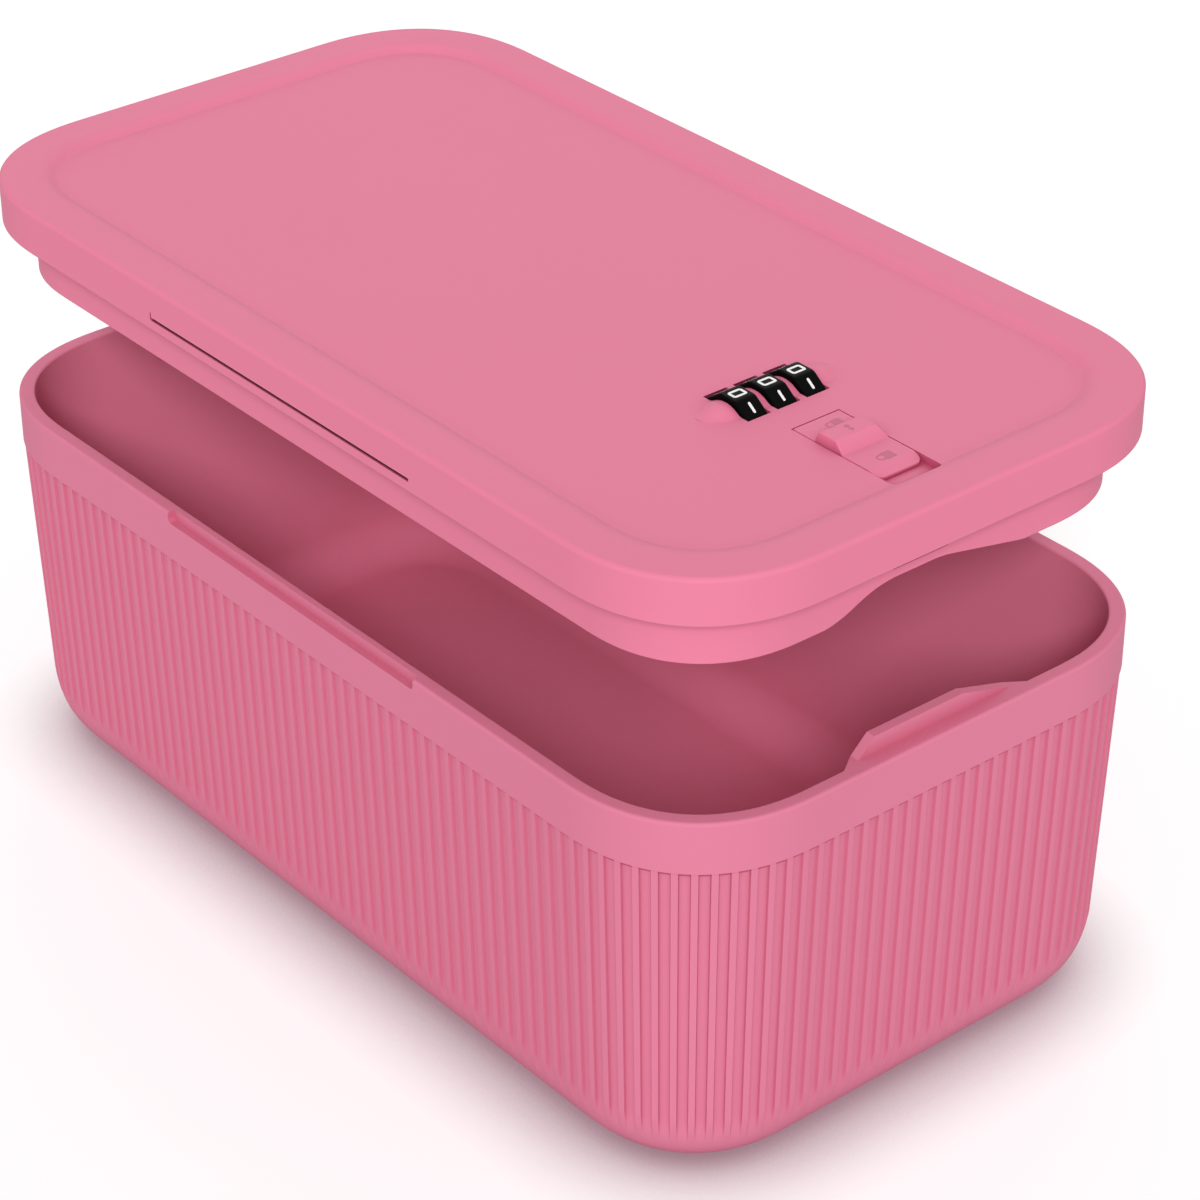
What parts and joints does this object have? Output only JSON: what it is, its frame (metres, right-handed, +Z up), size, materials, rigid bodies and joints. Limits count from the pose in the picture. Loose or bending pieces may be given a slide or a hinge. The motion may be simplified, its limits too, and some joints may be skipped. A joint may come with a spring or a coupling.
{
  "type": "medication lock box",
  "caption": "Rectangular ribbed storage bin with rounded corners and a lift-off lid that carries a dial combination lock and a slide latch.",
  "frame": {"origin": "middle of the bin's flat underside, on the surface that the box stands on", "axes": "+X along the long side towards the latch end, +Y across the box away from the finger notch, +Z up"},
  "size_m": [0.3, 0.165, 0.1727],
  "materials": {
    "bin_plastic": "satin moulded polypropylene, pink",
    "lid_plastic": "satin moulded polypropylene, pink",
    "dial_plastic": "semi-gloss moulded black with white digits",
    "grey_plastic": "plain moulded",
    "steel": "bright zinc-plated",
    "zinc": "die-cast, as cast"
  },
  "bodies": {
    "bin": {"bin_shell": "bin_plastic"},
    "lid": {"lid_shell": "lid_plastic", "lock_frame": "grey_plastic", "lock_cover": "lid_plastic", "cover_screw_1": "steel", "cover_screw_2": "steel", "cover_screw_3": "steel", "cover_screw_4": "steel", "axle_spring": "steel", "detent_spring": "steel", "detent_screw_1": "steel", "detent_screw_2": "steel"},
    "latch": {"slide_button": "lid_plastic", "latch_bolt": "zinc", "button_screw_1": "steel", "button_screw_2": "steel"},
    "axle": {"dial_axle": "steel", "axle_clip": "steel"},
    "dial_1": {"dial_wheel_1": "dial_plastic"},
    "dial_2": {"dial_wheel_2": "dial_plastic"},
    "dial_3": {"dial_wheel_3": "dial_plastic"},
    "sleeve_1": {"code_sleeve_1": "zinc"},
    "sleeve_2": {"code_sleeve_2": "zinc"},
    "sleeve_3": {"code_sleeve_3": "zinc"},
    "reset": {"reset_pin": "grey_plastic"}
  },
  "joints": [
    {"name": "lid_lift", "type": "slide", "parent": "bin", "child": "lid", "axis": [0, 0, 1], "range_m": [-0.0517, 0.1]},
    {"name": "latch_slide", "type": "slide", "parent": "lid", "child": "latch", "axis": [1, 0, 0], "range_m": [0, 0.006]},
    {"name": "dial_turn_1", "type": "hinge", "parent": "lid", "child": "dial_1", "pos_m": [0.0845, -0.0093, 0.16395], "axis": [0, 1, 0], "continuous": true},
    {"name": "dial_turn_2", "type": "hinge", "parent": "lid", "child": "dial_2", "pos_m": [0.0845, 0, 0.16395], "axis": [0, 1, 0], "continuous": true},
    {"name": "dial_turn_3", "type": "hinge", "parent": "lid", "child": "dial_3", "pos_m": [0.0845, 0.0093, 0.16395], "axis": [0, 1, 0], "continuous": true},
    {"name": "code_shift", "type": "slide", "parent": "lid", "child": "axle", "axis": [0, 1, 0], "range_m": [0, 0.0013], "stiffness_N_per_m": 300, "springref_m": -0.002, "deforming": ["axle_spring"]},
    {"name": "sleeve_turn_1", "type": "hinge", "parent": "axle", "child": "sleeve_1", "pos_m": [0.0845, -0.0093, 0.16395], "axis": [0, 1, 0], "continuous": true},
    {"name": "sleeve_turn_2", "type": "hinge", "parent": "axle", "child": "sleeve_2", "pos_m": [0.0845, 0, 0.16395], "axis": [0, 1, 0], "continuous": true},
    {"name": "sleeve_turn_3", "type": "hinge", "parent": "axle", "child": "sleeve_3", "pos_m": [0.0845, 0.0093, 0.16395], "axis": [0, 1, 0], "continuous": true},
    {"name": "reset_press", "type": "slide", "parent": "lid", "child": "reset", "axis": [0, 0, 1], "range_m": [0, 0.0013]}
  ],
  "couplings": [
    {"joint": "sleeve_turn_1", "follows": "dial_turn_1", "ratio": 1},
    {"joint": "sleeve_turn_2", "follows": "dial_turn_2", "ratio": 1},
    {"joint": "sleeve_turn_3", "follows": "dial_turn_3", "ratio": 1},
    {"joint": "reset_press", "follows": "code_shift", "ratio": 1}
  ]
}
